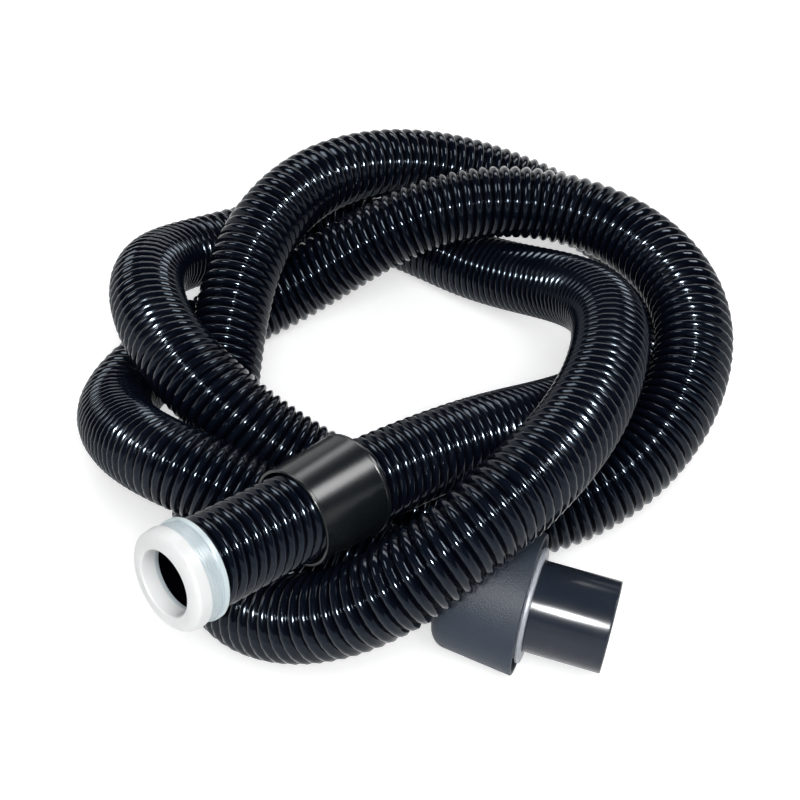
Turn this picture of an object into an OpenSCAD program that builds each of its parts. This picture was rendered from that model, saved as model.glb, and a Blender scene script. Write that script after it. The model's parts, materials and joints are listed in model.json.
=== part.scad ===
// Vacuum cleaner suction hose: a ribbed hose lying in loose loops, with a screwed end ring
// and a loose sleeve at one end and a swivel connector at the other. Millimetres, +Z up.
// The origin lies on the floor below the middle of the loops.

/* [Hose] */
// Diameter over the ribs
hose_od = 39; // [37:0.1:39.4]
// Height of a rib above the groove beside it
rib_depth = 2.1; // [1.2:0.1:3]
// Wall between a groove and the bore
hose_wall = 0.6; // [0.5:0.1:0.8]
// Number of ribs along the hose
rib_count = 180; // [120:1:180]
// Play between the hose's ribs and what is screwed over them
screw_play = 0.1; // [0.05:0.01:0.3]

/* [End ring] */
// Length over everything
ring_length = 15; // [14.5:0.5:20]
// How far the nose stands out past the hose's end
ring_nose = 2.5; // [2:0.1:4]
// Diameter of the flange at the back
ring_flange_d = 43; // [42.5:0.1:48]
// Thickness of the flange at the back
ring_flange_t = 2.5; // [2:0.1:3]
// Width of the groove in front of the flange
ring_groove_w = 5.8; // [4:0.1:7.8]
// Wall between the groove and the hose's ribs
ring_groove_wall = 0.9; // [0.7:0.1:1.2]
// Wall of the body at its nose end
ring_body_wall = 1.2; // [1.2:0.1:1.6]
// Draft of the body from its nose end to the groove, on the radius
ring_draft = 0.5; // [0:0.1:0.6]
// Diameter of the mouth
ring_mouth_d = 27.7; // [24:0.1:27.7]
// Rounding of the mouth's edge
ring_mouth_round = 0.8; // [0.3:0.1:1]
// Wall of the spigot inside the hose
ring_spigot_wall = 1.4; // [1:0.1:1.5]
// Length of the spigot inside the hose
ring_spigot_length = 6; // [5:0.5:14]
// Width and height of a fine turn in the groove
ring_turn = 0.4; // [0.2:0.05:0.5]
// Number of fine turns in the groove
ring_turns = 3; // [1:1:4]

/* [Sliding sleeve] */
// Distance along the hose from its end to the sleeve's narrow end
sleeve_from = 63; // [22:0.5:63]
// Length of the sleeve
sleeve_length = 35; // [30:0.5:38]
// Wall of the sleeve
sleeve_wall = 1.1; // [0.8:0.1:1.5]
// Play around the hose's ribs at the narrow end, on the radius
sleeve_play = 1.1; // [1:0.1:1.5]
// Growth towards the wide end, on the radius
sleeve_flare = 1.6; // [1.4:0.1:2]
// Height of the thin lip round each end
sleeve_lip = 0.3; // [0.1:0.1:0.5]
// Width of the thin lip round each end
sleeve_lip_w = 1.4; // [0.8:0.1:3]

/* [Hose collar] */
// Length of the collar over the hose
collar_length = 23; // [18:0.5:24]
// Wall of the collar over the hose's ribs
collar_wall = 2.4; // [2:0.1:3]
// Thickness of the stop that the hose's end meets
collar_stop_t = 2.4; // [2:0.1:3]
// Diameter of the hole through the stop
collar_hole_d = 32; // [28:0.5:33]
// Height of the thrust flange over the collar
thrust_h = 3; // [2:0.1:3.2]
// Length of the thrust flange
thrust_length = 4.4; // [3:0.1:6]
// Running clearance of the swivel, on the radius
swivel_play = 0.05; // [0.01:0.01:0.1]
// Running clearance at each end of the thrust flange
thrust_play = 0.1; // [0.05:0.05:0.3]
// Thickness of the thrust washer
washer_t = 1.5; // [1:0.1:2.5]

/* [Bell housing] */
// Diameter of the front rim
bell_rim_d = 64; // [63:0.5:64]
// Thickness of the wall behind the collar
bell_rear_t = 3.9; // [2.5:0.1:5]
// Diameter where the rear shoulder ends
bell_shoulder_d = 57.2; // [56:0.1:60]
// Length of the rounded rear shoulder
bell_shoulder = 8; // [6:0.5:10]
// Wall of the bell
bell_wall = 2; // [1.8:0.1:2.4]
// Gap between the bell's rear hole and the hose's ribs
bell_hole_play = 0.8; // [0.5:0.1:1.2]
// Flat land round the rear hole
bell_land = 0.5; // [0.2:0.1:2]
// Wall of the bearing tube, as a share of the room between the collar and the bell's wall
bearing_share = 0.46; // [0.3:0.01:0.55]
// Number of stiffening webs between the bearing tube and the bell
web_count = 6; // [3:1:8]
// Thickness of a stiffening web
web_t = 1.5; // [1:0.1:2.5]

/* [Stub pipe] */
// Outside diameter of the stub pipe
stub_od = 41; // [39:0.1:42]
// Wall of the stub pipe
stub_wall = 1.3; // [1.2:0.1:2.5]
// Length of the stub pipe in front of the bell's rim
stub_length = 36.4; // [25:0.1:60]
// Chamfer round the mouth of the stub pipe
stub_chamfer = 0.5; // [0.2:0.1:0.6]
// Step from the stub pipe up to the seat under the light ring, on the radius
stub_step = 0.5; // [0.3:0.1:0.8]
// Thickness of the flange at the root of the stub pipe
stub_flange_t = 3; // [2:0.1:4]
// Gap between the root flange and the bell
stub_flange_gap = 0.2; // [0.1:0.05:0.4]

/* [Light ring] */
// Outside diameter of the light ring
light_d = 52; // [51:0.1:58]
// Thickness of the light ring's visible flange
light_t = 2; // [1.5:0.1:5]
// Depth of its hub behind the visible flange
light_hub = 4.4; // [4:0.1:6]
// Bevel round its front edge
light_bevel = 0.6; // [0.3:0.1:1]
// Gap between the light ring and its seat on the stub pipe
light_gap = 0.05; // [0.02:0.01:0.1]

/* [Retaining clip] */
// Thickness of the clip
clip_t = 1.6; // [1.2:0.1:2]
// Width of the clip, as a share of the room between the stub pipe's seat and its groove
clip_share = 0.6; // [0.5:0.01:0.65]
// How far the clip reaches into its groove
clip_grip = 0.5; // [0.3:0.1:0.6]
// Play of the clip in its groove
clip_play = 0.1; // [0.05:0.05:0.2]
// Gap between the clip and the light ring's hub
clip_gap = 0.4; // [0.2:0.1:0.5]
// Opening between the clip's ends
clip_opening = 8; // [4:0.5:14]

/* [Hidden] */
$fn = 96;

// Control points of the hose's centre line, from the end ring to the connector
route = [
    [-88, -199.5, 100], [-50, -161.5, 87], [-12, -123.5, 74], [42, -85, 64],
    [104, -26, 17.5], [148, 34, 17.5], [146, 104, 17.5], [94, 154, 18],
    [22, 154, 50], [-46, 117, 68], [-82, 52, 67], [-91, -6, 40],
    [-93, -92, 14], [-79, -160, 19], [-18, -186, 52], [41, -162, 97],
    [86, -92, 77], [111, -15, 70], [94, 46, 40], [40, 84, 18],
    [-25, 146, 18], [-122, 102, 18], [-138, 42, 56], [-124, -18, 68],
    [-85, -77, 72], [-32, -84, 25], [45, -110, 12], [120, -88, 38],
    [156, -18, 65], [136, 62, 60], [80, 94, 64], [10, 74, 74],
    [-62, 64, 17.5], [-122, 28, 17.5], [-154, -35, 24], [-114, -107, 70],
    [-70, -118, 58], [-32, -131, 31], [10, -145, 33.5], [46, -157, 32.5]
];
// The loose sleeve's direction, a little tilted on the hose, and how far its narrow end hangs
sleeve_dir = [34.5, 34.5, -8.5];
sleeve_hang = [0, 0.3, -0.6];

// Sides of the hose and of its bore
SIDES = 8;
// Steps in which each span of the centre line is measured
SPAN_STEPS = 16;
// Distance between the points at which the least gap is measured
GAP_STEP = 4;
// Corners on a rounded quarter in a profile
ARC = 12;
// Cut past a face, so that no skin is left
OVER = 1;

hose_r = hose_od / 2;
root_r = hose_r - rib_depth;
bore_r = root_r - hose_wall;
screw_r = hose_r + screw_play;

// --- Centre line: a uniform cubic B-spline that starts and ends on its end points ---

last = len(route) - 1;
spans = last;
// The route with one more point past each end
control = concat([2 * route[0] - route[1]], route, [2 * route[last] - route[last - 1]]);

function span_of(u) = min(floor(u), spans - 1);
function blend(c, w) = c[0] * w[0] + c[1] * w[1] + c[2] * w[2] + c[3] * w[3];
function neighbours(i) = [for (k = [0:3]) control[i + k]];
function place_weights(t) = [pow(1 - t, 3), 3 * pow(t, 3) - 6 * t * t + 4,
                             -3 * pow(t, 3) + 3 * t * t + 3 * t + 1, pow(t, 3)] / 6;
function slope_weights(t) = [-pow(1 - t, 2), 3 * t * t - 4 * t, -3 * t * t + 2 * t + 1, t * t] / 2;
function place(u) = blend(neighbours(span_of(u)), place_weights(u - span_of(u)));
function slope(u) = blend(neighbours(span_of(u)), slope_weights(u - span_of(u)));
function unit(v) = v / norm(v);

// Length run up to each measured step, as [length, place on the spline]
steps = spans * SPAN_STEPS;
measured = [for (i = 0, run = 0; i <= steps;
                 run = run + norm(place((i + 1) / SPAN_STEPS) - place(i / SPAN_STEPS)), i = i + 1)
            [run, i / SPAN_STEPS]];
hose_length = measured[steps][0];
function at_length(s) = lookup(s, measured);

// --- Ribbed tube ---

// Corners of one ring, kept on or above the floor
function ring(u, r) =
    let (p = place(u), t = unit(slope(u)), side = unit(cross([0, 0, 1], t)), up = cross(t, side))
    [for (k = [0:SIDES - 1])
        let (a = 360 * (k + 0.5) / SIDES, q = p + r * (cos(a) * side + sin(a) * up))
        [q.x, q.y, max(q.z, 0)]];

rings = 2 * rib_count;
ring_step = hose_length / rings;
function outer_r(i) = i % 2 == 0 ? root_r : hose_r;
skin_points = [for (i = [0:rings]) each ring(at_length(i * ring_step), outer_r(i))];
bore_points = [for (i = [0:rib_count]) each ring(at_length(2 * i * ring_step), bore_r)];
function skin(i, k) = i * SIDES + k % SIDES;
function bore(i, k) = (rings + 1 + i) * SIDES + k % SIDES;

skin_faces = [for (i = [0:rings - 1], k = [0:SIDES - 1])
    each [[skin(i, k), skin(i + 1, k + 1), skin(i, k + 1)],
          [skin(i, k), skin(i + 1, k), skin(i + 1, k + 1)]]];
bore_faces = [for (i = [0:rib_count - 1], k = [0:SIDES - 1])
    each [[bore(i, k), bore(i, k + 1), bore(i + 1, k + 1)],
          [bore(i, k), bore(i + 1, k + 1), bore(i + 1, k)]]];
end_faces = [for (k = [0:SIDES - 1])
    each [[skin(0, k), skin(0, k + 1), bore(0, k)],
          [skin(0, k + 1), bore(0, k + 1), bore(0, k)],
          [skin(rings, k), bore(rib_count, k), skin(rings, k + 1)],
          [skin(rings, k + 1), bore(rib_count, k), bore(rib_count, k + 1)]]];

// Least gap between stretches of the hose that lie more than half a bend apart
gap_count = floor(hose_length / GAP_STEP);
gap_points = [for (i = [0:gap_count]) place(at_length(i * GAP_STEP))];
apart = ceil(PI * hose_od / GAP_STEP);
least_gap = min([for (i = [0:gap_count - apart], j = [i + apart:gap_count])
    norm(gap_points[i] - gap_points[j])]) - hose_od;
echo(hose_length = hose_length, rib_pitch = 2 * ring_step, least_gap = least_gap);

// --- Placing of what is turned about the hose's ends ---

// Puts the children's Z axis along dir at the point at
module along(at, dir) {
    translate(at)
        rotate([0, acos(dir.z / norm(dir)), atan2(dir.y, dir.x)])
            children();
}

module at_ring_end() {
    along(route[0], route[0] - route[1]) children();
}

module at_connector_end() {
    along(route[last], route[last] - route[last - 1]) children();
}

module turned(profile) {
    rotate_extrude() polygon(profile);
}

// Points of a rounded quarter about the centre c, from angle a to angle b
function arc(c, rx, ry, a, b) = [for (i = [0:ARC])
    let (t = a + (b - a) * i / ARC) [c.x + rx * cos(t), c.y + ry * sin(t)]];

// --- End ring: z = 0 at the hose's end face, +z out of the mouth ---

ring_back = ring_nose - ring_length;
ring_groove_z = ring_back + ring_flange_t;
ring_body_z = ring_groove_z + ring_groove_w;
ring_mouth_r = ring_mouth_d / 2;
ring_groove_r = screw_r + ring_groove_wall;
ring_body_r = screw_r + ring_body_wall;
ring_spigot_r = ring_mouth_r + ring_spigot_wall;
ring_round = ring_body_r - ring_spigot_r;

module fine_turn(z) {
    translate([0, 0, z])
        turned([[ring_groove_r - ring_turn, 0], [ring_groove_r, 0],
                [ring_groove_r + ring_turn / 2, ring_turn / 2], [ring_groove_r, ring_turn],
                [ring_groove_r - ring_turn, ring_turn]]);
}

module hose_end_ring() {
    nose = arc([ring_body_r - ring_round, 0], ring_round, ring_nose, 0, 90);
    color("white") at_ring_end() {
        turned(concat(
            [[screw_r, 0], [screw_r, ring_back], [ring_flange_d / 2, ring_back],
             [ring_flange_d / 2, ring_groove_z], [ring_groove_r, ring_groove_z],
             [ring_groove_r, ring_body_z], [ring_body_r + ring_draft, ring_body_z]],
            nose,
            arc([ring_mouth_r + ring_mouth_round, ring_nose - ring_mouth_round],
                ring_mouth_round, ring_mouth_round, 90, 180),
            [[ring_mouth_r, -ring_spigot_length], [ring_spigot_r, -ring_spigot_length],
             [ring_spigot_r, 0]]));
        for (i = [1:ring_turns]) {
            fine_turn(ring_groove_z + ring_groove_w * i / (ring_turns + 1) - ring_turn / 2);
        }
    }
}

// --- Sleeve: z = 0 at the narrow end, +z towards the wide end ---

sleeve_narrow_r = hose_r + sleeve_play;
sleeve_wide_r = sleeve_narrow_r + sleeve_flare;
sleeve_at = place(at_length(sleeve_from)) + sleeve_hang;

module sliding_sleeve() {
    narrow = sleeve_narrow_r + sleeve_wall;
    wide = sleeve_wide_r + sleeve_wall;
    color([0.12, 0.13, 0.15]) along(sleeve_at, sleeve_dir)
        turned([[sleeve_narrow_r, 0], [narrow + sleeve_lip, 0],
                [narrow + sleeve_lip, sleeve_lip_w], [narrow, sleeve_lip_w + sleeve_lip],
                [wide, sleeve_length - sleeve_lip_w - sleeve_lip],
                [wide + sleeve_lip, sleeve_length - sleeve_lip_w],
                [wide + sleeve_lip, sleeve_length], [sleeve_wide_r, sleeve_length]]);
}

// --- Connector: z = 0 at the hose's end face, +z towards the mouth of the stub pipe ---

// Radii from the hose outwards
collar_r = screw_r + collar_wall;
collar_hole_r = collar_hole_d / 2;
thrust_r = collar_r + thrust_h;
bearing_r = collar_r + swivel_play;
bell_hole_r = hose_r + bell_hole_play;
bell_land_r = bell_hole_r + bell_land;
ledge_r = thrust_r + clip_gap;
stub_r = stub_od / 2;
stub_bore_r = stub_r - stub_wall;
stub_seat_r = stub_r + stub_step;
light_bore_r = stub_seat_r + light_gap;
light_r = light_d / 2;
rim_r = bell_rim_d / 2;
shoulder_r = bell_shoulder_d / 2;
bearing_out_r = bearing_r + bearing_share * (shoulder_r - bell_wall - bearing_r);

// Heights from the back to the front
bearing_back = -collar_length - thrust_play;
bell_back = bearing_back - bell_rear_t;
shoulder_z = bell_back + bell_shoulder;
thrust_back = collar_stop_t - thrust_length;
bearing_front = thrust_back - thrust_play;
washer_z = collar_stop_t + thrust_play;
root_z = washer_z + washer_t;
seat_z = root_z + stub_flange_t;
clip_front = seat_z + clip_t;
groove_front = clip_front + clip_play;
light_z = seat_z + light_hub;
light_front = light_z + light_t;
stub_end = light_z + stub_length;
// The bell's rim is level with the back of the light ring's flange
rim_z = light_z;

// Outside radius of the bell's cone, and the radius inside its wall
function bell_r(z) = shoulder_r + (rim_r - shoulder_r) * (z - shoulder_z) / (rim_z - shoulder_z);
function inside_r(z) = bell_r(z) - bell_wall;

groove_r = inside_r(seat_z) + clip_grip + clip_play;
clip_r = inside_r(seat_z) + clip_grip;
clip_hole_r = clip_r - clip_share * (clip_r - clip_gap - light_bore_r);
light_hub_r = clip_hole_r - clip_gap;
stub_flange_r = inside_r(root_z) - stub_flange_gap;

module hose_collar() {
    color([0.25, 0.25, 0.27]) at_connector_end()
        turned([[screw_r, -collar_length], [collar_r, -collar_length], [collar_r, thrust_back],
                [thrust_r, thrust_back], [thrust_r, collar_stop_t],
                [collar_hole_r, collar_stop_t], [collar_hole_r, 0], [screw_r, 0]]);
}

module thrust_washer() {
    color([0.85, 0.85, 0.82]) at_connector_end() translate([0, 0, washer_z])
        turned([[collar_hole_r, 0], [thrust_r, 0], [thrust_r, washer_t], [collar_hole_r, washer_t]]);
}

// Stiffening web between the bearing tube and the middle of the bell's wall
module web(angle) {
    foot_r = (bearing_r + bearing_out_r) / 2;
    rotate([90, 0, angle]) linear_extrude(web_t, center = true)
        polygon([[foot_r, shoulder_z], [bell_r(shoulder_z) - bell_wall / 2, shoulder_z],
                 [bell_r(bearing_front) - bell_wall / 2, bearing_front], [foot_r, bearing_front]]);
}

module bell_housing() {
    // The rounded shoulder's centre, its outer quarter and the part of its inner quarter
    // that lies outside the bearing tube
    centre = [bell_land_r, shoulder_z];
    outer = [shoulder_r - bell_land_r, bell_shoulder];
    inner = outer - [bell_wall, bell_wall];
    inner_end = acos((bearing_out_r - centre.x) / inner.x);
    color([0.33, 0.36, 0.42]) at_connector_end() {
        turned(concat(
            [[bell_hole_r, bearing_back], [bell_hole_r, bell_back]],
            arc(centre, outer.x, outer.y, 270, 360),
            [[rim_r, rim_z], [inside_r(rim_z), rim_z],
             [inside_r(groove_front), groove_front], [groove_r, groove_front],
             [groove_r, seat_z], [inside_r(seat_z), seat_z],
             [inside_r(root_z), root_z], [ledge_r, root_z], [ledge_r, root_z - bell_wall],
             [inside_r(root_z - 2 * bell_wall), root_z - 2 * bell_wall]],
            arc(centre, inner.x, inner.y, 360, 360 - inner_end),
            [[bearing_out_r, bearing_front], [bearing_r, bearing_front],
             [bearing_r, bearing_back]]));
        for (i = [0:web_count - 1]) {
            web(360 * i / web_count);
        }
    }
}

module stub_pipe() {
    color([0.2, 0.21, 0.23]) at_connector_end()
        turned([[stub_bore_r, root_z], [stub_flange_r, root_z], [stub_flange_r, seat_z],
                [stub_seat_r, seat_z], [stub_seat_r, light_front], [stub_r, light_front],
                [stub_r, stub_end - stub_chamfer],
                [stub_r - stub_chamfer, stub_end], [stub_bore_r, stub_end]]);
}

module light_ring() {
    color([0.75, 0.76, 0.76]) at_connector_end()
        turned([[light_bore_r, seat_z], [light_hub_r, seat_z], [light_hub_r, light_z],
                [light_r, light_z], [light_r, light_front - light_bevel],
                [light_r - light_bevel, light_front], [light_bore_r, light_front]]);
}

module retaining_clip() {
    color([0.6, 0.6, 0.62]) at_connector_end() difference() {
        translate([0, 0, seat_z])
            turned([[clip_hole_r, 0], [clip_r, 0], [clip_r, clip_t], [clip_hole_r, clip_t]]);
        translate([0, -clip_opening / 2, seat_z - OVER])
            cube([clip_r + OVER, clip_opening, clip_t + 2 * OVER]);
    }
}

// --- Hose ---

module corrugated_hose() {
    color([0.14, 0.15, 0.18])
        polyhedron(concat(skin_points, bore_points), concat(skin_faces, bore_faces, end_faces));
}

corrugated_hose();
hose_end_ring();
sliding_sleeve();
hose_collar();
thrust_washer();
bell_housing();
stub_pipe();
light_ring();
retaining_clip();
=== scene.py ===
"""Vacuum cleaner suction hose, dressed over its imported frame.

The hose lies in loose loops. A white ring is screwed over its first end, a loose sleeve rides
behind the ring, and a bell with a swivelling stub pipe closes the other end.
"""

import json
import logging
import math
from dataclasses import dataclass, field
from enum import Enum

import bmesh
import bpy
import numpy as np
from mathutils import Matrix, Vector


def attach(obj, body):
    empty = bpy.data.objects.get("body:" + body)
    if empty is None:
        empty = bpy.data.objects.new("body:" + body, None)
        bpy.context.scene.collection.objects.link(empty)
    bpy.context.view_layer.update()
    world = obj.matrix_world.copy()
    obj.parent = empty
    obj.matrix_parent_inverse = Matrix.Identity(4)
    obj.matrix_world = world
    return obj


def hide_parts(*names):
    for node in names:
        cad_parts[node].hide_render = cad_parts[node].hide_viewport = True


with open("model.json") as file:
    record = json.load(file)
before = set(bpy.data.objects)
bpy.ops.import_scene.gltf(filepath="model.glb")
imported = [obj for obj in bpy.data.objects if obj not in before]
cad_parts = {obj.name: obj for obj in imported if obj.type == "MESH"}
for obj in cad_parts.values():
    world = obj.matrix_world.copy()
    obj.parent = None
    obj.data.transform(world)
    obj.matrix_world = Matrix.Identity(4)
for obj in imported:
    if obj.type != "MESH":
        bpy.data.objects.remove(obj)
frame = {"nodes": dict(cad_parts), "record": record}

Pair = tuple[float, float]
Triple = tuple[float, float, float]
Socket = bpy.types.NodeSocket
Material = bpy.types.Material
Piece = bpy.types.Object

LOG = logging.getLogger("hose")
MM = 0.001

# Roundings of moulded edges in millimetres, from the sharpest to the softest
CRISP, FINE, THIN, EASED, SOFT, BROAD, BLUNT = 0.2, 0.3, 0.35, 0.4, 0.5, 0.7, 0.8

# Control points of the hose's centre line in millimetres, from the end ring to the connector
ROUTE = (
    (-88, -199.5, 100), (-50, -161.5, 87), (-12, -123.5, 74), (42, -85, 64),
    (104, -26, 17.5), (148, 34, 17.5), (146, 104, 17.5), (94, 154, 18),
    (22, 154, 50), (-46, 117, 68), (-82, 52, 67), (-91, -6, 40),
    (-93, -92, 14), (-79, -160, 19), (-18, -186, 52), (41, -162, 97),
    (86, -92, 77), (111, -15, 70), (94, 46, 40), (40, 84, 18),
    (-25, 146, 18), (-122, 102, 18), (-138, 42, 56), (-124, -18, 68),
    (-85, -77, 72), (-32, -84, 25), (45, -110, 12), (120, -88, 38),
    (156, -18, 65), (136, 62, 60), (80, 94, 64), (10, 74, 74),
    (-62, 64, 17.5), (-122, 28, 17.5), (-154, -35, 24), (-114, -107, 70),
    (-70, -118, 58), (-32, -131, 31), (10, -145, 33.5), (46, -157, 32.5),
)


def mount(name: str) -> dict:
    """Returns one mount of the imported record."""
    return next(m for m in frame["record"]["mounts"] if m["name"] == name)


def joint(name: str) -> dict:
    """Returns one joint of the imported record."""
    return next(j for j in frame["record"]["behaviour"]["joints"] if j["name"] == name)


# --- Nodes ---


class Nodes:
    """Adds nodes to one tree and links them."""

    def __init__(self, tree: bpy.types.NodeTree) -> None:
        """Keeps the tree that the nodes go into."""
        self.tree = tree

    def fill(self, sockets: bpy.types.NodeInputs, values: dict[int | str, object]) -> None:
        """Links or sets some of a node's inputs.

        Args:
            sockets: The node's inputs.
            values: The socket or the plain value for each input's name or number.
        """
        for name, value in values.items():
            if isinstance(value, Socket):
                self.tree.links.new(value, sockets[name])
            else:
                sockets[name].default_value = value

    def add(self, kind: str, values: dict[int | str, object] | None = None,
            **settings: object) -> bpy.types.Node:
        """Adds one node.

        Args:
            kind: The node's Blender type.
            values: The socket or the plain value for each input's name or number.
            settings: Properties of the node to set.

        Returns:
            The new node.
        """
        node = self.tree.nodes.new(kind)
        for name, value in settings.items():
            setattr(node, name, value)
        self.fill(node.inputs, values or {})
        return node

    def calc(self, operation: str, *values: object) -> Socket:
        """Returns the result of a Math node, whose inputs are sockets or numbers."""
        node = self.add("ShaderNodeMath", dict(enumerate(values)), operation=operation)
        return node.outputs[0]

    def vector(self, operation: str, *values: object) -> Socket:
        """Returns the vector from a Vector Math node, whose inputs are sockets or vectors."""
        node = self.add("ShaderNodeVectorMath", dict(enumerate(values)), operation=operation)
        return node.outputs[0]

    def scaled(self, vector: Socket, factor: object) -> Socket:
        """Returns a vector times a factor, which is a socket or a number."""
        values = {0: vector, "Scale": factor}
        return self.add("ShaderNodeVectorMath", values, operation="SCALE").outputs[0]

    def mix(self, factor: Socket, first: object, second: object) -> Socket:
        """Returns a mix of two colours, which are sockets or plain values."""
        values = {"Factor": factor, "A": first, "B": second}
        return self.add("ShaderNodeMix", values, data_type="RGBA").outputs["Result"]


def principled(name: str) -> tuple[Material, Nodes, bpy.types.NodeInputs]:
    """Makes a material.

    Args:
        name: The material's name.

    Returns:
        The material, its nodes and the inputs of its Principled shader.
    """
    material = bpy.data.materials.new(name)
    material.use_nodes = True
    shader = material.node_tree.nodes["Principled BSDF"]
    return material, Nodes(material.node_tree), shader.inputs


# --- Finishes ---


class Grain(Enum):
    """How a moulded surface is textured: feature scale per metre and bump height in metres."""

    POLISHED = (260.0, 0.000004)
    SMOOTH = (900.0, 0.00001)
    SPARKED = (1500.0, 0.00025)


def surface_group() -> bpy.types.NodeTree:
    """Builds the node group that every moulded finish shares.

    Returns:
        A shader group with the inputs Scale, Roughness and Spread, and the outputs Roughness,
        Height and Haze.
    """
    group = bpy.data.node_groups.new("moulded_surface", "ShaderNodeTree")
    for way, names in (("INPUT", ("Scale", "Roughness", "Spread")),
                       ("OUTPUT", ("Roughness", "Height", "Haze"))):
        for name in names:
            group.interface.new_socket(name, in_out=way, socket_type="NodeSocketFloat")
    nodes = Nodes(group)
    inputs = nodes.add("NodeGroupInput").outputs
    place = nodes.add("ShaderNodeTexCoord").outputs["Object"]
    fine = nodes.add("ShaderNodeTexNoise", {
        "Vector": place, "Scale": inputs["Scale"], "Detail": 3.0}).outputs["Fac"]
    broad = nodes.add("ShaderNodeTexNoise", {
        "Vector": place, "Scale": 38.0, "Detail": 4.0, "Roughness": 0.6}).outputs["Fac"]
    noise_mean = 0.5
    shift = nodes.calc("MULTIPLY", nodes.calc("SUBTRACT", broad, noise_mean), inputs["Spread"])
    haze = nodes.add("ShaderNodeMapRange", {"Value": broad, "From Min": 0.45, "From Max": 0.75})
    nodes.add("NodeGroupOutput", {
        "Roughness": nodes.calc("ADD", inputs["Roughness"], shift), "Height": fine,
        "Haze": haze.outputs["Result"]})
    return group


@dataclass(frozen=True)
class Finish:
    """A moulded plastic.

    Attributes:
        name: The material's name.
        colour: Linear colour where the plastic is clean.
        roughness: Roughness of the clean surface.
        hazed: Linear colour where handling and dust have dulled it.
        spread: How far the roughness wanders over the surface.
        grain: How the surface is textured.
        shine: Specular level, where 0.5 is plain plastic.
        gleam: Linear colour of what the surface reflects.
    """

    name: str
    colour: Triple
    roughness: float
    hazed: Triple = (0.0, 0.0, 0.0)
    spread: float = 0.08
    grain: Grain = Grain.SMOOTH
    shine: float = 0.5
    gleam: Triple = (1.0, 1.0, 1.0)

    def material(self, group: bpy.types.NodeTree) -> Material:
        """Builds the material.

        Args:
            group: The shared surface group.

        Returns:
            The finished material.
        """
        material, nodes, shader = principled(self.name)
        scale, height = self.grain.value
        surface = nodes.add("ShaderNodeGroup", {
            "Scale": scale, "Roughness": self.roughness, "Spread": self.spread}, node_tree=group)
        bump = nodes.add("ShaderNodeBump", {
            "Distance": height, "Height": surface.outputs["Height"]})
        nodes.fill(shader, {
            "Base Color": self.tint(nodes, surface), "Roughness": self.gloss(nodes, surface),
            "Normal": bump.outputs["Normal"], "Specular IOR Level": self.shine,
            "Specular Tint": (*self.gleam, 1.0)})
        material.diffuse_color = (*self.colour, 1.0)
        return material

    def tint(self, nodes: Nodes, surface: bpy.types.Node) -> Socket:
        """Returns the colour: the clean one mixed with the hazed one."""
        return nodes.mix(surface.outputs["Haze"], (*self.colour, 1.0), (*self.hazed, 1.0))

    def gloss(self, nodes: Nodes, surface: bpy.types.Node) -> Socket:
        """Returns the roughness, which is the shared group's own."""
        return surface.outputs["Roughness"]


@dataclass(frozen=True)
class RibbedFinish(Finish):
    """The hose's plastic: darker between the ribs as painted shade, and rougher there.

    Attributes:
        groove_shade: Linear colour between the ribs, darker than the crests to paint the grooves'
            shade.
        dulled: How much rougher the plastic is between the ribs.
    """

    # The grooves' colour is painted shade, darker than the plastic on the crests.
    groove_shade: Triple = (0.001, 0.001, 0.003)
    dulled: float = 0.06

    def crest(self, nodes: Nodes) -> Socket:
        """Returns the hose's "crest", 0 in a groove and 1 on the rib."""
        return nodes.add("ShaderNodeAttribute", attribute_name="crest").outputs["Fac"]

    def tint(self, nodes: Nodes, surface: bpy.types.Node) -> Socket:
        """Returns the colour: painted shade in the grooves and the moulded one on the crests."""
        return nodes.mix(self.crest(nodes), (*self.groove_shade, 1.0), super().tint(nodes, surface))

    def gloss(self, nodes: Nodes, surface: bpy.types.Node) -> Socket:
        """Returns the roughness: the group's own, and more towards the grooves."""
        more = nodes.calc("MULTIPLY", nodes.calc("SUBTRACT", 1.0, self.crest(nodes)), self.dulled)
        return nodes.calc("ADD", surface.outputs["Roughness"], more)


@dataclass(frozen=True)
class GrooveShadedFinish(Finish):
    """The ring's milky plastic, greyer where it is thin over the black hose, and darker still in
    the groove with painted shade.

    Attributes:
        bands: Height over the ring's back in millimetres, and the linear colour there; the
            darkest ones paint the groove's shade. They take the place of the hazed colour.
    """

    bands: tuple[tuple[float, Triple], ...] = ()

    def tint(self, nodes: Nodes, surface: bpy.types.Node) -> Socket:
        """Blends the colours of the bands, painted shade in the groove among them, along the
        ring's axis.

        Args:
            nodes: The material's nodes.
            surface: The shared group's node, which the bands leave out.

        Returns:
            The colour.
        """
        flange = mount("end_ring_flange")
        axis = Vector(flange["axis"])
        back = Vector(flange["pos_m"]) - axis * flange["dims"]["length_mm"] * MM / 2
        place = nodes.add("ShaderNodeTexCoord").outputs["Object"]
        height = nodes.add("ShaderNodeVectorMath", {
            0: nodes.vector("SUBTRACT", place, tuple(back)), 1: tuple(axis)},
            operation="DOT_PRODUCT").outputs["Value"]
        first = self.bands[0][0]
        span = self.bands[-1][0] - first
        share = nodes.calc("DIVIDE", nodes.calc("SUBTRACT", height, first * MM), span * MM)
        ramp = nodes.add("ShaderNodeValToRGB", {"Fac": share})
        stops = ramp.color_ramp.elements
        while len(stops) < len(self.bands):
            stops.new(stops[0].position)
        for stop, (place_mm, colour) in zip(stops, self.bands):
            stop.position = (place_mm - first) / span
            stop.color = (*colour, 1.0)
        return ramp.outputs["Color"]


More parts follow.
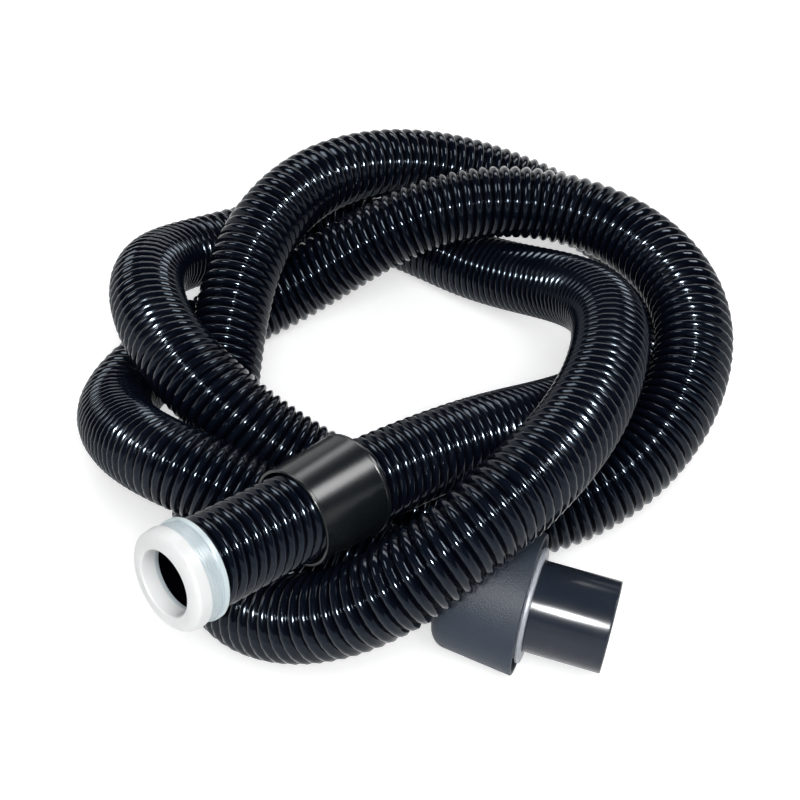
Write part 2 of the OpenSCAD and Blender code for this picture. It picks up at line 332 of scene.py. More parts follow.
GLOSSY_BLACK = RibbedFinish("hose_plastic", (0.003, 0.005, 0.011), 0.1, (0.006, 0.008, 0.015),
                            spread=0.04, grain=Grain.POLISHED, shine=0.25,
                            gleam=(0.70, 0.85, 1.0))
# The ring's groove, 2.7 to 7.9 mm over its back, is coloured darker as painted shade.
MILK_WHITE = GrooveShadedFinish("ring_plastic", (0.93, 0.95, 0.95), 0.3, spread=0.06, bands=(
    (-2.0, (0.72, 0.84, 0.87)), (1.9, (0.72, 0.84, 0.87)), (2.7, (0.52, 0.60, 0.64)),
    (7.9, (0.60, 0.68, 0.72)), (8.6, (0.93, 0.95, 0.95))))
POLISHED_BLACK = Finish("sleeve_plastic", (0.005, 0.008, 0.010), 0.24, (0.010, 0.013, 0.015),
                        spread=0.06, grain=Grain.POLISHED, shine=0.4)
BLUE_GREY = Finish("bell_plastic", (0.036, 0.049, 0.073), 0.5, (0.046, 0.058, 0.082),
                   spread=0.1, grain=Grain.SPARKED, shine=0.2)
DARK_GREY = Finish("stub_plastic", (0.020, 0.027, 0.042), 0.2, (0.030, 0.037, 0.052),
                   spread=0.1, grain=Grain.POLISHED, shine=0.25)
LIGHT_GREY = Finish("light_plastic", (0.50, 0.54, 0.60), 0.42, (0.43, 0.47, 0.53))
BUSH_GREY = Finish("bush_plastic", (0.05, 0.05, 0.055), 0.45, (0.07, 0.07, 0.075))
SLIDE_WHITE = Finish("slide_plastic", (0.7, 0.69, 0.64), 0.4, (0.6, 0.59, 0.54))


# --- Turned pieces ---


@dataclass(frozen=True)
class Corner:
    """One corner of a turned piece's section, in millimetres.

    Attributes:
        r: Distance from the axis.
        z: Height along the axis.
        fillet: Radius of the rounding at the corner.
    """

    r: float
    z: float
    fillet: float = 0.0


def arc(centre: Pair, reach: Pair, turns: Pair, steps: int) -> list[Corner]:
    """Lays sharp corners along part of an ellipse.

    Args:
        centre: Distance from the axis and height of its centre, in millimetres.
        reach: Its half widths in those two directions, where a negative one mirrors it.
        turns: First and last angle, in quarter turns.
        steps: Steps from the first corner to the last.

    Returns:
        The corners.
    """
    return [Corner(centre[0] + reach[0] * math.cos(angle), centre[1] + reach[1] * math.sin(angle))
            for angle in np.linspace(*turns, steps + 1) * math.pi / 2]


@dataclass(frozen=True)
class Turned:
    """A closed section turned about an axis.

    Attributes:
        name: The piece's name.
        section: The section's corners, in order round it.
        segments: Faces round the axis.
        bends: Steps in each rounding.
    """

    name: str
    section: list[Corner]
    segments: int = 144
    bends: int = 5

    def outline(self) -> np.ndarray:
        """Rounds the section's corners.

        Returns:
            The section's points in metres, as rows of radius and height.
        """
        points = []
        places = [np.array((corner.r, corner.z)) for corner in self.section]
        for i, corner in enumerate(self.section):
            if corner.fillet == 0.0:
                points.append(places[i])
            else:
                after = places[(i + 1) % len(places)]
                points.extend(self.rounding(places[i], places[i - 1], after, corner.fillet))
        return np.array(points) * MM

    def rounding(self, here: np.ndarray, before: np.ndarray, after: np.ndarray,
                 radius: float) -> list[np.ndarray]:
        """Rounds one corner.

        Args:
            here: The corner.
            before: The corner before it.
            after: The corner after it.
            radius: The rounding's radius.

        Returns:
            The points along the rounding.
        """
        into = (before - here) / np.linalg.norm(before - here)
        out = (after - here) / np.linalg.norm(after - here)
        half = math.acos(float(np.clip(into @ out, -1.0, 1.0))) / 2
        reach = radius / math.tan(half)
        centre = here + (into + out) / np.linalg.norm(into + out) * radius / math.sin(half)
        first, last = here + into * reach - centre, here + out * reach - centre
        points = []
        for k in range(self.bends + 1):
            blend = first * (1 - k / self.bends) + last * k / self.bends
            points.append(centre + blend / np.linalg.norm(blend) * radius)
        return points

    def build(self, place: Matrix) -> Piece:
        """Turns the section into a mesh.

        Args:
            place: Carries the piece's own axis to its place in the row's frame.

        Returns:
            The piece, with its place in its mesh.
        """
        radius, height = self.outline().T
        rows = len(radius)
        turn = np.linspace(0.0, 2 * math.pi, self.segments, endpoint=False)
        points = np.stack([np.outer(np.cos(turn), radius), np.outer(np.sin(turn), radius),
                           np.outer(np.ones_like(turn), height)], axis=-1).reshape(-1, 3)
        faces = []
        for i in range(self.segments):
            a, b = i * rows, (i + 1) % self.segments * rows
            faces += [(a + k, b + k, b + (k + 1) % rows, a + (k + 1) % rows)
                      for k in range(rows)]
        mesh = bpy.data.meshes.new(self.name)
        mesh.from_pydata(points.tolist(), [], faces)
        mesh.transform(place)
        return finished(self.name, mesh)


def finished(name: str, mesh: bpy.types.Mesh, crease: float = 42.0) -> Piece:
    """Points a closed mesh's faces outwards, smooths its shading and links it into the scene.

    Args:
        name: The object's name.
        mesh: The mesh, with its place in its vertices.
        crease: Angle in degrees past which an edge stays sharp.

    Returns:
        The new object.
    """
    work = bmesh.new()
    work.from_mesh(mesh)
    bmesh.ops.recalc_face_normals(work, faces=work.faces)
    work.to_mesh(mesh)
    work.free()
    mesh.shade_smooth()
    mesh.set_sharp_from_angle(angle=math.radians(crease))
    piece = bpy.data.objects.new(name, mesh)
    bpy.context.scene.collection.objects.link(piece)
    return piece


def placed(at: Triple | Vector, towards: Vector) -> Matrix:
    """Returns the matrix that carries the Z axis to a point in metres and a direction."""
    return Matrix.Translation(at) @ towards.to_track_quat("Z", "Y").to_matrix().to_4x4()


def dressed(piece: Piece, body: str, node: str, slot: str,
            material: Material) -> Piece:
    """Gives a piece its material and its body, and hides the solid that it stands for.

    Args:
        piece: The piece.
        body: The body that it rides on.
        node: The node that it replaces.
        slot: The record's material slot; not used.
        material: The piece's material.

    Returns:
        The piece.
    """
    piece.data.materials.clear()
    piece.data.materials.append(material)
    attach(piece, body)
    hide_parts(node)
    LOG.info("%s: %d faces on %s", piece.name, len(piece.data.polygons), body)
    return piece


# --- The hose ---


@dataclass
class CentreLine:
    """A uniform cubic B-spline through the air that starts and ends on its end points.

    Attributes:
        route: Control points in millimetres.
        steps: Points taken in each span.
    """

    route: tuple[Triple, ...] = ROUTE
    steps: int = 32

    def points(self) -> np.ndarray:
        """Samples the line.

        Returns:
            Points along the line in metres.
        """
        route = np.array(self.route, float) * MM
        control = np.vstack([2 * route[0] - route[1], route, 2 * route[-1] - route[-2]])
        t = np.arange(self.steps)[:, None] / self.steps
        weights = np.hstack([(1 - t) ** 3, 3 * t ** 3 - 6 * t ** 2 + 4,
                             -3 * t ** 3 + 3 * t ** 2 + 3 * t + 1, t ** 3]) / 6
        spans = [weights @ control[i:i + 4] for i in range(len(route) - 1)]
        return np.vstack(spans + [route[-1:]])

    def along(self) -> np.ndarray:
        """Returns the distance run up to each point, in metres."""
        points = self.points()
        return np.append(0.0, np.cumsum(np.linalg.norm(np.diff(points, axis=0), axis=1)))


class HoseTree:
    """The geometry tree that winds the hose's ribbed wall and sweeps its bore.

    It reads guide points along the centre line, one for each side and ring in each turn of the
    rib, with the line's direction in their attribute "tangent".

    Attributes:
        INPUTS: The tree's inputs and their kinds.
        SEAM: Distance in metres under which the points at a tube's seam are one.
    """

    INPUTS = {"Geometry": "Geometry", "Turns": "Int", "Sides": "Int", "Rings per Rib": "Int",
              "Bore Step": "Int", "Root": "Float", "Rib": "Float", "Fullness": "Float",
              "Bore": "Float", "Material": "Material"}
    SEAM = 0.01 * MM

    def __init__(self) -> None:
        """Builds the tree with its named inputs."""
        self.tree = bpy.data.node_groups.new("ribbed_hose", "GeometryNodeTree")
        sockets = self.tree.interface
        for name, kind in self.INPUTS.items():
            sockets.new_socket(name, in_out="INPUT", socket_type="NodeSocket" + kind)
        sockets.new_socket("Geometry", in_out="OUTPUT", socket_type="NodeSocketGeometry")
        self.nodes = Nodes(self.tree)
        add = self.nodes.add
        self.inputs = add("NodeGroupInput").outputs
        self.per_turn = self.nodes.calc("MULTIPLY", self.inputs["Sides"],
                                        self.inputs["Rings per Rib"])
        both = add("GeometryNodeJoinGeometry")
        for surface in (self.wall(), self.bore()):
            self.nodes.fill(both.inputs, {0: surface})
        real = add("GeometryNodeRealizeInstances", {0: both.outputs[0]})
        dressed_hose = add("GeometryNodeSetMaterial", {
            "Geometry": real.outputs[0], "Material": self.inputs["Material"]})
        add("NodeGroupOutput", {0: dressed_hose.outputs[0]})

    def wall(self) -> Socket:
        """Winds the ribbed wall: each row of points follows the helix of the rib.

        Returns:
            The wall. Its points keep "crest", 0 in a groove and 1 on the rib.
        """
        calc, inputs, rings = self.nodes.calc, self.inputs, self.inputs["Rings per Rib"]
        grid, column, row = self.grid(
            calc("MULTIPLY", calc("ADD", inputs["Turns"], 1.0), rings))
        last = calc("MULTIPLY", inputs["Turns"], self.per_turn)
        wound = calc("SUBTRACT", calc("MULTIPLY", row, inputs["Sides"]),
                     calc("MULTIPLY", column, rings))
        index = calc("MINIMUM", calc("MAXIMUM", wound, 0.0), last)
        half_turn = 0.5
        from_crest = calc("PINGPONG", calc("DIVIDE", row, rings), half_turn)
        reach = calc("DIVIDE", from_crest, half_turn)
        rounded = calc("SUBTRACT", 1.0, calc("POWER", reach, inputs["Fullness"]))
        to_end = calc("MINIMUM", index, calc("SUBTRACT", last, index))
        run_out = calc("MINIMUM", calc("DIVIDE", to_end, self.per_turn), 1.0)
        crest = calc("MULTIPLY", rounded, run_out)
        kept = self.nodes.add("GeometryNodeStoreNamedAttribute", {
            "Geometry": grid, "Name": "crest", "Value": crest}, data_type="FLOAT", domain="POINT")
        radius = calc("MULTIPLY_ADD", crest, inputs["Rib"], inputs["Root"])
        return self.tube(kept.outputs[0], index, column, radius)

    def bore(self) -> Socket:
        """Sweeps the smooth bore.

        Returns:
            The bore.
        """
        calc, turns, step = self.nodes.calc, self.inputs["Turns"], self.inputs["Bore Step"]
        grid, column, row = self.grid(calc("CEIL", calc("DIVIDE", turns, step)))
        turn = calc("MINIMUM", calc("MULTIPLY", row, step), turns)
        index = calc("MULTIPLY", turn, self.per_turn)
        return self.tube(grid, index, column, self.inputs["Bore"])

    def grid(self, rows: Socket) -> tuple[Socket, Socket, Socket]:
        """Makes a flat grid with a column of faces for each side of the hose.

        Args:
            rows: Faces along the grid.

        Returns:
            The grid, and each point's column and row, counted from 0.
        """
        add, calc, sides = self.nodes.add, self.nodes.calc, self.inputs["Sides"]
        flat = add("GeometryNodeMeshGrid", {
            "Size X": sides, "Size Y": rows,
            "Vertices X": calc("ADD", sides, 1.0), "Vertices Y": calc("ADD", rows, 1.0)})
        place = add("GeometryNodeInputPosition").outputs[0]
        at = add("ShaderNodeSeparateXYZ", {0: place}).outputs
        column = calc("ROUND", calc("MULTIPLY_ADD", sides, 0.5, at["X"]))
        row = calc("ROUND", calc("MULTIPLY_ADD", rows, 0.5, at["Y"]))
        return flat.outputs["Mesh"], column, row

    def tube(self, grid: Socket, index: Socket, column: Socket, radius: Socket) -> Socket:
        """Rolls a grid up round the centre line and closes its seam.

        Args:
            grid: The flat grid.
            index: Each point's guide point.
            column: Each point's column.
            radius: Each point's distance from the centre line.

        Returns:
            The tube.
        """
        add, calc, vector = self.nodes.add, self.nodes.calc, self.nodes.vector
        place = add("GeometryNodeInputPosition").outputs[0]
        tangent = add("GeometryNodeInputNamedAttribute", {"Name": "tangent"},
                      data_type="FLOAT_VECTOR").outputs["Attribute"]
        centre, along = (add("GeometryNodeSampleIndex", {
            "Geometry": self.inputs["Geometry"], "Value": value, "Index": index},
            data_type="FLOAT_VECTOR", domain="POINT").outputs[0] for value in (place, tangent))
        side = vector("NORMALIZE", vector("CROSS_PRODUCT", (0.0, 0.0, 1.0), along))
        up = vector("CROSS_PRODUCT", along, side)
        share = calc("DIVIDE", calc("ADD", column, 0.5), self.inputs["Sides"])
        angle = calc("MULTIPLY", share, 2 * math.pi)
        spoke = vector("ADD", self.nodes.scaled(side, calc("COSINE", angle)),
                       self.nodes.scaled(up, calc("SINE", angle)))
        rolled = vector("ADD", centre, self.nodes.scaled(spoke, radius))
        moved = add("GeometryNodeSetPosition", {"Geometry": grid, "Position": rolled})
        closed = add("GeometryNodeMergeByDistance", {
            "Geometry": moved.outputs[0], "Distance": self.SEAM})
        return closed.outputs[0]


@dataclass
class RibbedHose:
    """The hose with its helical rib and its bore.

    Attributes:
        line: The centre line.
        outside: Radius over the ribs, in millimetres.
        rib_height: Height of the rib over the groove, in millimetres.
        fullness: Power of the rib's fall from its crest to the groove: more is a flatter crest.
        wall: Wall between a groove and the bore, in millimetres.
        pitches: Distance along the hose and the rib's pitch there, in millimetres. The hose
            stretches and shortens as it bends.
        sides: Faces round the hose.
        rings_per_rib: Rings of points in each turn of the rib.
        bore_step: Turns of the rib from one ring of the bore to the next.
        crease: Angle in degrees past which an edge stays sharp.
    """

    line: CentreLine = field(default_factory=CentreLine)
    outside: float = 19.5
    rib_height: float = 2.3
    fullness: float = 2.0
    wall: float = 0.6
    pitches: tuple[Pair, ...] = (
        (0, 5), (200, 4.75), (540, 6), (625, 6.5), (705, 5.25), (1075, 5), (1130, 6.1),
        (1190, 5), (1260, 5), (1325, 4.1), (1450, 6), (1610, 6.5), (1660, 5.4), (1710, 4.1),
        (1760, 5), (1950, 4.7), (2000, 5.2), (2055, 6.6), (2130, 6.2), (2205, 4.75),
        (2290, 5.5), (2430, 6.4), (2500, 4), (2560, 4), (2700, 5.5))
    sides: int = 22
    rings_per_rib: int = 8
    bore_step: int = 2
    crease: float = 75.0

    def turns(self) -> np.ndarray:
        """Counts the rib's turns along the hose.

        Returns:
            How many turns have run up to each point of the centre line.
        """
        run = self.line.along() / MM
        places, pitches = zip(*self.pitches)
        middle = (run[1:] + run[:-1]) / 2
        rate = 1.0 / np.interp(middle, places, pitches)
        return np.append(0.0, np.cumsum(np.diff(run) * rate))

    def turn_count(self) -> int:
        """Returns the whole number of turns that the rib makes."""
        return round(float(self.turns()[-1]))

    def guide(self) -> Piece:
        """Lays the guide points that the geometry tree reads.

        Returns:
            The points as an object.
        """
        line, turns = self.line.points(), self.turns()
        count = self.turn_count() * self.sides * self.rings_per_rib
        wanted = np.linspace(0.0, turns[-1], count + 1)
        tangents = np.gradient(line, axis=0)
        places, along = (
            np.stack([np.interp(wanted, turns, rows[:, k]) for k in range(3)], axis=-1)
            for rows in (line, tangents))
        along /= np.linalg.norm(along, axis=1)[:, None]
        mesh = bpy.data.meshes.new("hose_guide")
        mesh.from_pydata(places.tolist(), [], [])
        tangent = mesh.attributes.new("tangent", "FLOAT_VECTOR", "POINT")
        tangent.data.foreach_set("vector", along.ravel())
        return bpy.data.objects.new("hose_guide", mesh)

    def build(self, material: Material) -> Piece:
        """Winds the hose and closes its two end faces.

        Args:
            material: The hose's plastic.

        Returns:
            The hose as one closed mesh.
        """
        guide = self.guide()
        bpy.context.scene.collection.objects.link(guide)
        tree = HoseTree().tree
        modifier = guide.modifiers.new("ribs", "NODES")
        modifier.node_group = tree
        root = self.outside - self.rib_height
        sizes = {"Turns": self.turn_count(), "Sides": self.sides,
                 "Rings per Rib": self.rings_per_rib, "Bore Step": self.bore_step,
                 "Root": root * MM, "Rib": self.rib_height * MM, "Fullness": self.fullness,
                 "Bore": (root - self.wall) * MM, "Material": material}
        for item in tree.interface.items_tree:
            if item.name in sizes and item.in_out == "INPUT":
                modifier[item.identifier] = sizes[item.name]
        evaluated = guide.evaluated_get(bpy.context.evaluated_depsgraph_get())
        mesh = bpy.data.meshes.new_from_object(evaluated)
        bpy.data.objects.remove(guide)
        mesh.name = "ribbed_hose"
        self.close(mesh)
        hose = finished("ribbed_hose", mesh, self.crease)
        mesh.materials.clear()
        mesh.materials.append(material)
        LOG.info("%s: %d faces, %.3f m long", hose.name, len(mesh.polygons),
                 self.line.along()[-1])
        return hose

    def close(self, mesh: bpy.types.Mesh) -> None:
        """Joins the wall to the bore at both ends and keeps the hose on or above the floor.

        Args:
            mesh: The wall and the bore.
        """
        work = bmesh.new()
        work.from_mesh(mesh)
        open_edges = [edge for edge in work.edges if edge.is_boundary]
        rim = {vert for edge in open_edges for vert in edge.verts}
        across = {vert: min(rim - {vert}, key=lambda other, here=vert: (other.co - here.co).length)
                  for vert in rim}
        for edge in open_edges:
            a, b = edge.verts
            if edge.is_boundary:
                work.faces.new((a, b, across[b], across[a]))
        for vert in work.verts:
            vert.co.z = max(vert.co.z, 0.0)
        work.to_mesh(mesh)
        work.free()

    def declare(self, hose: Piece, pieces: list[Piece]) -> None:
        """Args:
            hose: The hose.
            pieces: The pieces of the connector at its far end; not used.
        """
        path = self.line.points()
        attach(hose, "hose")
        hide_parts("corrugated_hose")
        float(self.line.along()[-1])


# --- The fittings ---


@dataclass
class EndRing:
    """The white ring over the hose's first end. Height 0 is the hose's end face.

    Attributes:
        nose: How far the nose stands out, in millimetres.
        nose_steps: Steps in the nose's rounding.
        length: Length over everything.
        flange: Radius and thickness of the flange.
        groove: Radius and width of the groove.
        turns: Number of fine turns in the groove.
        turn: Height and half width of a fine turn.
        body: Radii of the body at its nose end and at the groove.
        spigot: Radius and length of the spigot inside the hose.
        inside: Radius over the hose.
    """

    nose: float = 2.5
    nose_steps: int = 10
    length: float = 15.0
    flange: Pair = (21.5, 2.5)
    groove: Pair = (20.5, 5.8)
    turns: int = 3
    turn: Pair = (0.2, 0.2)
    body: Pair = (20.8, 21.3)
    spigot: Pair = (15.25, 6.0)
    inside: float = 19.6

    def grooved(self, back: float, front: float) -> list[Corner]:
        """Draws the groove with its fine turns.

        Args:
            back: Height of the groove's back.
            front: Height of its front.

        Returns:
            The corners from the groove's back to its front.
        """
        floor = self.groove[0]
        height, half = self.turn
        section = [Corner(floor, back, CRISP)]
        for middle in np.linspace(back, front, self.turns + 2)[1:-1]:
            section += [Corner(floor, middle - half), Corner(floor + height, middle),
                        Corner(floor, middle + half)]
        return section + [Corner(floor, front, CRISP)]

    def build(self, material: Material) -> Piece:
        """Turns the ring and puts it in place of its solid.

        Args:
            material: The ring's plastic.

        Returns:
            The ring.
        """
        mouth = mount("end_ring_mouth")
        hole = mouth["dims"]["r_mm"]
        back = self.nose - self.length
        groove_back = back + self.flange[1]
        groove_front = groove_back + self.groove[1]
        pipe, depth = self.spigot
        section = [Corner(self.inside, 0.0), Corner(self.inside, back, FINE),
                   Corner(self.flange[0], back, SOFT), Corner(self.flange[0], groove_back, EASED)]
        section += self.grooved(groove_back, groove_front)
        section.append(Corner(self.body[1], groove_front, EASED))
        section += arc((pipe, 0.0), (self.body[0] - pipe, self.nose), (0.0, 1.0), self.nose_steps)
        section += [Corner(hole, self.nose, BLUNT), Corner(hole, -depth, EASED),
                    Corner(pipe, -depth, EASED), Corner(pipe, 0.0)]
        place = placed(Vector(ROUTE[0]) * MM, Vector(mouth["axis"]))
        return dressed(Turned("end_ring", section).build(place), "hose", "hose_end_ring",
                       "ring_plastic", material)


@dataclass
class Sleeve:
    """The loose sleeve on the hose. Height 0 is its narrow end.

    Attributes:
        length: Length in millimetres.
        narrow: Inside radius at the narrow end.
        flare: Growth of the radius to the wide end.
        wall: Wall.
        lip: Height and width of the thin lip at each end.
        along: Distance from the hose's end to the narrow end.
        hang: How far the narrow end hangs from the hose's centre line.
        towards: Direction of the sleeve's axis.
    """

    length: float = 35.0
    narrow: float = 20.6
    flare: float = 1.6
    wall: float = 1.1
    lip: Pair = (0.3, 1.4)
    along: float = 63.0
    hang: Triple = (0.0, 0.3, -0.6)
    towards: Triple = (34.5, 34.5, -8.5)

    def build(self, line: CentreLine, material: Material) -> Piece:
        """Turns the sleeve and puts it in place of its solid.

        Args:
            line: The hose's centre line.
            material: The sleeve's plastic.

        Returns:
            The sleeve.
        """
        height, width = self.lip
        wide = self.narrow + self.flare
        near, far = self.narrow + self.wall, wide + self.wall
        section = [Corner(self.narrow, 0.0, FINE), Corner(near + height, 0.0, THIN),
                   Corner(near + height, width, CRISP), Corner(near, width + height, CRISP),
                   Corner(far, self.length - width - height, CRISP),
                   Corner(far + height, self.length - width, CRISP),
                   Corner(far + height, self.length, THIN), Corner(wide, self.length, FINE)]
        run, points = line.along(), line.points()
        start = Vector([float(np.interp(self.along * MM, run, points[:, k])) for k in range(3)])
        place = placed(start + Vector(self.hang) * MM, Vector(self.towards))
        return dressed(Turned("sleeve", section).build(place), "sleeve", "sliding_sleeve",
                       "sleeve_plastic", material)


@dataclass
class Connector:
    """Bell, light ring and stub pipe. Height 0 is the hose's end face inside the bell.

    Attributes:
        bell_back: Height of the bell's back.
        rim: Radius and height of the bell's front rim.
        shoulder: Radius and length of the rounded rear shoulder.
        shoulder_steps: Steps in the shoulder's rounding.
        hole: Radius of the bell's rear hole.
        land: Radius where the rounded shoulder starts.
        wall: Wall of the bell.
        bearing: Inside radius, outside radius and front of the bearing tube.
        bearing_back: Height of the wall behind the collar.
        ledge: Inside radius and front of the ledge that the stub's flange rests on.
        play: Gap between the stub's flange and the bell.
        seat: Height of the front of the stub's flange.
        stub_end: Height of the stub pipe's mouth.
        step: Step from the stub pipe up to its seat under the light ring.
        light: Radius, back and front of the light ring's flange.
        bevel: Bevel round the light ring's front.
        hub: Inside and outside radius of the light ring's hub.
    """

    bell_back: float = -27.0
    rim: Pair = (32.0, 11.4)
    shoulder: Pair = (28.6, 8.0)
    shoulder_steps: int = 14
    hole: float = 20.3
    land: float = 20.8
    wall: float = 2.0
    bearing: Triple = (22.05, 24.14, -2.1)
    bearing_back: float = -23.1
    ledge: Pair = (25.4, 4.0)
    play: float = 0.2
    seat: float = 7.0
    stub_end: float = 47.8
    step: float = 0.5
    light: Triple = (26.0, 11.4, 13.4)
    bevel: float = 0.6
    hub: Pair = (21.05, 24.47)

    def cone(self, z: float) -> float:
        """Measures the bell's cone.

        Args:
            z: A height on the cone.

        Returns:
            The bell's outside radius there.
        """
        low = self.bell_back + self.shoulder[1]
        share = (z - low) / (self.rim[1] - low)
        return self.shoulder[0] + (self.rim[0] - self.shoulder[0]) * share

    def rear(self, inset: float, turns: Pair) -> list[Corner]:
        """Draws the rounded rear shoulder.

        Args:
            inset: How far inside the outer face, in millimetres.
            turns: First and last angle, where 0 is the shoulder's front and 1 its back.

        Returns:
            The shoulder's corners.
        """
        radius, length = self.shoulder
        return arc((self.land, self.bell_back + length),
                   (radius - self.land - inset, inset - length), turns, self.shoulder_steps)

    def bell(self) -> list[Corner]:
        """Draws the bell's shell with its bearing tube.

        Returns:
            The section.
        """
        inside, outside, front = self.bearing
        reach = self.shoulder[0] - self.land - self.wall
        inner_end = math.acos((outside - self.land) / reach) * 2 / math.pi
        rim_r, rim_z = self.rim
        ledge_r, ledge_z = self.ledge
        under = ledge_z - 2 * self.wall
        return [Corner(self.hole, self.bearing_back), Corner(self.hole, self.bell_back, EASED),
                *self.rear(0.0, (1.0, 0.0)),
                Corner(rim_r, rim_z, BROAD), Corner(rim_r - self.wall, rim_z, SOFT),
                Corner(self.cone(ledge_z) - self.wall, ledge_z), Corner(ledge_r, ledge_z),
                Corner(ledge_r, ledge_z - self.wall), Corner(self.cone(under) - self.wall, under),
                *self.rear(self.wall, (0.0, inner_end)),
                Corner(outside, front), Corner(inside, front), Corner(inside, self.bearing_back)]

    def stub(self) -> list[Corner]:
        """Draws the stub pipe with its flange inside the bell.

        Returns:
            The section.
        """
        outer = mount("stub_outside")["dims"]["r_mm"]
        bore = mount("stub_bore")["dims"]["r_mm"]
        back = self.ledge[1]
        flange = self.cone(back) - self.wall - self.play
        return [Corner(bore, back), Corner(flange, back), Corner(flange, self.seat),
                Corner(outer + self.step, self.seat), Corner(outer + self.step, self.light[2]),
                Corner(outer, self.light[2]), Corner(outer, self.stub_end, SOFT),
                Corner(bore, self.stub_end, THIN)]

    def light_ring(self) -> list[Corner]:
        """Draws the light ring in the bell's mouth.

        Returns:
            The section.
        """
        bore, hub = self.hub
        outer, back, front = self.light
        return [Corner(bore, self.seat), Corner(hub, self.seat), Corner(hub, back, FINE),
                Corner(outer, back, EASED), Corner(outer, front - self.bevel, CRISP),
                Corner(outer - self.bevel, front, CRISP), Corner(bore, front, FINE)]

    def build(self, finishes: dict[str, Material]) -> list[Piece]:
        """Turns the three pieces and puts them in place of their solids.

        Args:
            finishes: The materials by name.

        Returns:
            The bell, the stub pipe and the light ring.
        """
        swivel = joint("connector_swivel")
        place = placed(swivel["pos_m"], Vector(swivel["axis"]))
        return [dressed(Turned(name, section).build(place), "connector", node, slot,
                        finishes[slot])
                for name, section, node, slot in (
                    ("bell", self.bell(), "bell_housing", "bell_plastic"),
                    ("stub", self.stub(), "stub_pipe", "stub_plastic"),
                    ("light_ring_face", self.light_ring(), "light_ring", "light_plastic"))]


# --- Camera, floor and lights ---


@dataclass(frozen=True)
class Lamp:
    """One soft light.

    Attributes:
        name: The lamp's name.
        at: Its place in metres.
        size: Its width and height in metres.
        power: Its power in watts.
        mirrored: Whether glossy surfaces show the lamp.
        lighting: Whether the lamp lights plain surfaces.
    """

    name: str
    at: Triple
    size: Pair
    power: float
    mirrored: bool = True
    lighting: bool = True


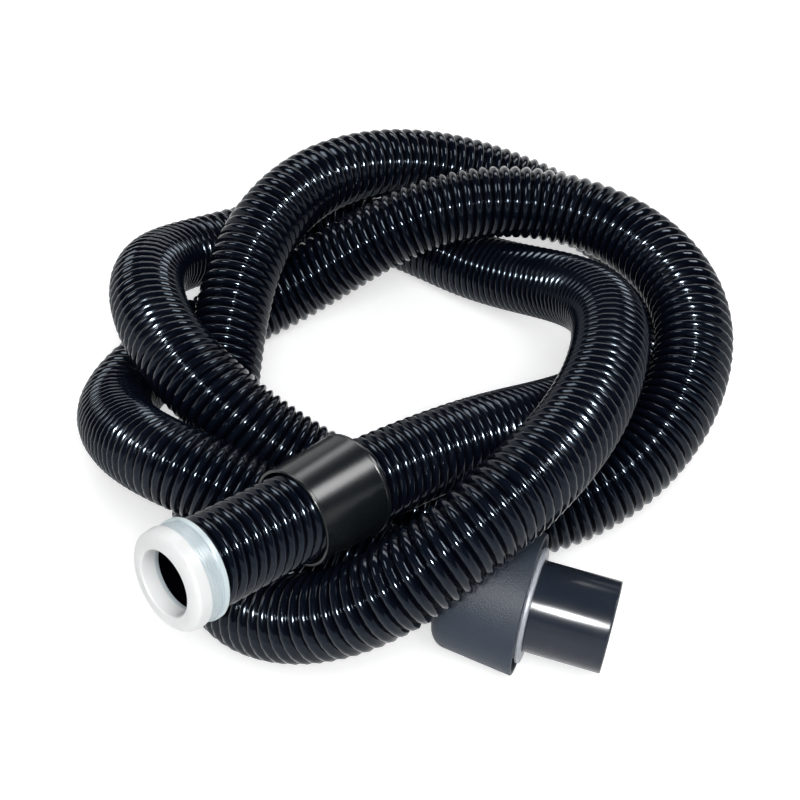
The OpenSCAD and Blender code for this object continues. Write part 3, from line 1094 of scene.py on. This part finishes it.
@dataclass
class Studio:
    """Camera, floor, ceiling, surroundings and lights.

    Attributes:
        target: The point the camera looks at, in metres.
        distance: Distance from the camera to that point.
        elevation: Angle of the camera above the floor, in degrees.
        lens: Focal length for the sensor, in millimetres.
        sensor: Width of the sensor, in millimetres.
        paper: Half width of the floor and its linear grey.
        near: Distances from the middle between which the floor's glow grows, in metres.
        glow: Strength of the floor's glow as seen, at those two distances.
        roof: Half width of the ceiling, its height and its linear grey.
        matt: Roughness of the floor and the ceiling.
        daylight: Strength of the surroundings, as seen and as light for the pieces.
        aim: The point that the lamps face.
        lamps: The lights.
    """

    target: Triple = (0.0, 0.0, -0.002)
    distance: float = 0.715
    elevation: float = 45.0
    lens: float = 59.4
    sensor: float = 36.0
    paper: Pair = (6.0, 0.86)
    near: Pair = (0.4, 1.6)
    glow: Pair = (0.6, 0.95)
    roof: Triple = (5.0, 1.8, 0.02)
    matt: float = 0.9
    daylight: Pair = (1.0, 0.2)
    aim: Triple = (0.0, 0.0, 0.03)
    lamps: tuple[Lamp, ...] = (
        Lamp("spark", (-0.05, -0.62, 0.66), (0.08, 0.08), 18.0, lighting=False),
        Lamp("right", (0.77, 0.19, 0.97), (0.4, 0.4), 8.0, lighting=False),
        Lamp("left", (-0.85, 0.1, 0.9), (0.4, 0.4), 5.0, lighting=False),
        Lamp("back", (0.0, 1.2, 1.0), (1.2, 0.3), 7.0),
        Lamp("key", (0.1, -0.62, 0.8), (0.5, 0.5), 6.0, mirrored=False),
        Lamp("fill", (-0.9, -1.1, 0.8), (1.0, 1.0), 3.0, mirrored=False),
        Lamp("top", (0.0, -0.2, 1.6), (1.6, 1.6), 3.0, mirrored=False),
    )

    def camera(self) -> None:
        """Makes the camera and makes it the scene's own."""
        tilt = math.radians(self.elevation)
        data = bpy.data.cameras.new("camera")
        data.lens = self.lens
        data.sensor_width = self.sensor
        data.clip_start = 0.01
        camera = bpy.data.objects.new("camera", data)
        away = Vector((0.0, -math.cos(tilt), math.sin(tilt))) * self.distance
        camera.location = Vector(self.target) + away
        camera.rotation_euler = (math.pi / 2 - tilt, 0.0, 0.0)
        bpy.context.scene.collection.objects.link(camera)
        bpy.context.scene.camera = camera

    def sheet(self, name: str, half: float, height: float,
              grey: float) -> tuple[Nodes, bpy.types.NodeInputs]:
        """Lays a matt square sheet that faces the object.

        Args:
            name: The sheet's name.
            half: Half its width, in metres.
            height: Its height, in metres.
            grey: Its linear grey.

        Returns:
            The nodes of its material and the inputs of its shader.
        """
        material, nodes, shader = principled(name + "_paint")
        nodes.fill(shader, {"Base Color": (grey, grey, grey, 1.0), "Roughness": self.matt})
        places = [(-half, -half, height), (half, -half, height), (half, half, height),
                  (-half, half, height)]
        mesh = bpy.data.meshes.new(name)
        mesh.from_pydata(places, [], [(3, 2, 1, 0) if height > 0.0 else (0, 1, 2, 3)])
        mesh.materials.append(material)
        sheet = bpy.data.objects.new(name, mesh)
        bpy.context.scene.collection.objects.link(sheet)
        return nodes, shader

    def floor(self) -> None:
        """Lays the floor, which the camera sees as white outside the object's soft shadow."""
        half, grey = self.paper
        nodes, shader = self.sheet("floor", half, 0.0, grey)
        place = nodes.add("ShaderNodeTexCoord").outputs["Object"]
        away = nodes.add("ShaderNodeVectorMath", {0: place}, operation="LENGTH")
        glow = nodes.add("ShaderNodeMapRange", {
            "Value": away.outputs["Value"], "From Min": self.near[0], "From Max": self.near[1],
            "To Min": self.glow[0], "To Max": self.glow[1]}).outputs["Result"]
        nodes.fill(shader, {
            "Specular IOR Level": 0.1, "Emission Color": (1.0, 1.0, 1.0, 1.0),
            "Emission Strength": nodes.calc("MULTIPLY", self.seen(nodes), glow)})

    def ceiling(self) -> None:
        """Hangs the studio's dark ceiling, which keeps the black gloss black."""
        half, height, grey = self.roof
        self.sheet("ceiling", half, height, grey)

    def seen(self, nodes: Nodes) -> Socket:
        """Tells the rays that show a thing from those that only light it.

        Args:
            nodes: The nodes of the material or the world.

        Returns:
            1 for rays from the camera, a gloss or a clear piece, and 0 for others.
        """
        rays = nodes.add("ShaderNodeLightPath").outputs
        mirrored = nodes.calc("MAXIMUM", rays["Is Glossy Ray"], rays["Is Transmission Ray"])
        return nodes.calc("MAXIMUM", rays["Is Camera Ray"], mirrored)

    def sky(self) -> None:
        """Makes the surroundings: white to the camera, dim to the pieces."""
        world = bpy.data.worlds.new("studio")
        world.use_nodes = True
        nodes = Nodes(world.node_tree)
        white, dim = self.daylight
        strength = nodes.calc("MULTIPLY_ADD", self.seen(nodes), white - dim, dim)
        nodes.fill(world.node_tree.nodes["Background"].inputs, {
            "Color": (1.0, 1.0, 1.0, 1.0), "Strength": strength})
        bpy.context.scene.world = world

    def light(self) -> None:
        """Makes the lamps."""
        for lamp in self.lamps:
            data = bpy.data.lights.new(lamp.name, "AREA")
            data.shape = "RECTANGLE"
            data.size, data.size_y = lamp.size
            data.energy = lamp.power
            light = bpy.data.objects.new(lamp.name, data)
            light.location = lamp.at
            light.visible_glossy = lamp.mirrored
            light.visible_diffuse = lamp.lighting
            aim = Vector(self.aim) - Vector(lamp.at)
            light.rotation_euler = aim.to_track_quat("-Z", "Y").to_euler()
            bpy.context.scene.collection.objects.link(light)


def main() -> None:
    """Builds the scene: camera and hose first, then the fittings, the floor and the lights."""
    logging.basicConfig(level=logging.INFO, format="%(name)s: %(message)s")
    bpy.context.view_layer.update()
    bpy.context.scene.view_settings.view_transform = "Standard"
    studio = Studio()
    studio.camera()
    group = surface_group()
    finishes = {finish.name: finish.material(group) for finish in (
        GLOSSY_BLACK, MILK_WHITE, POLISHED_BLACK, BLUE_GREY, DARK_GREY, LIGHT_GREY, BUSH_GREY,
        SLIDE_WHITE)}
    hose = RibbedHose()
    tube = hose.build(finishes["hose_plastic"])
    EndRing().build(finishes["ring_plastic"])
    Sleeve().build(hose.line, finishes["sleeve_plastic"])
    hose.declare(tube, Connector().build(finishes))
    for node, name in (("hose_collar", "bush_plastic"), ("thrust_washer", "slide_plastic"),
                       ("retaining_clip", "bush_plastic")):
        solid = frame["nodes"][node]
        solid.data.materials.clear()
        solid.data.materials.append(finishes[name])
        LOG.info("%s: kept solid", node)
    studio.floor()
    studio.ceiling()
    studio.sky()
    studio.light()


if __name__ == "__main__":
    main()
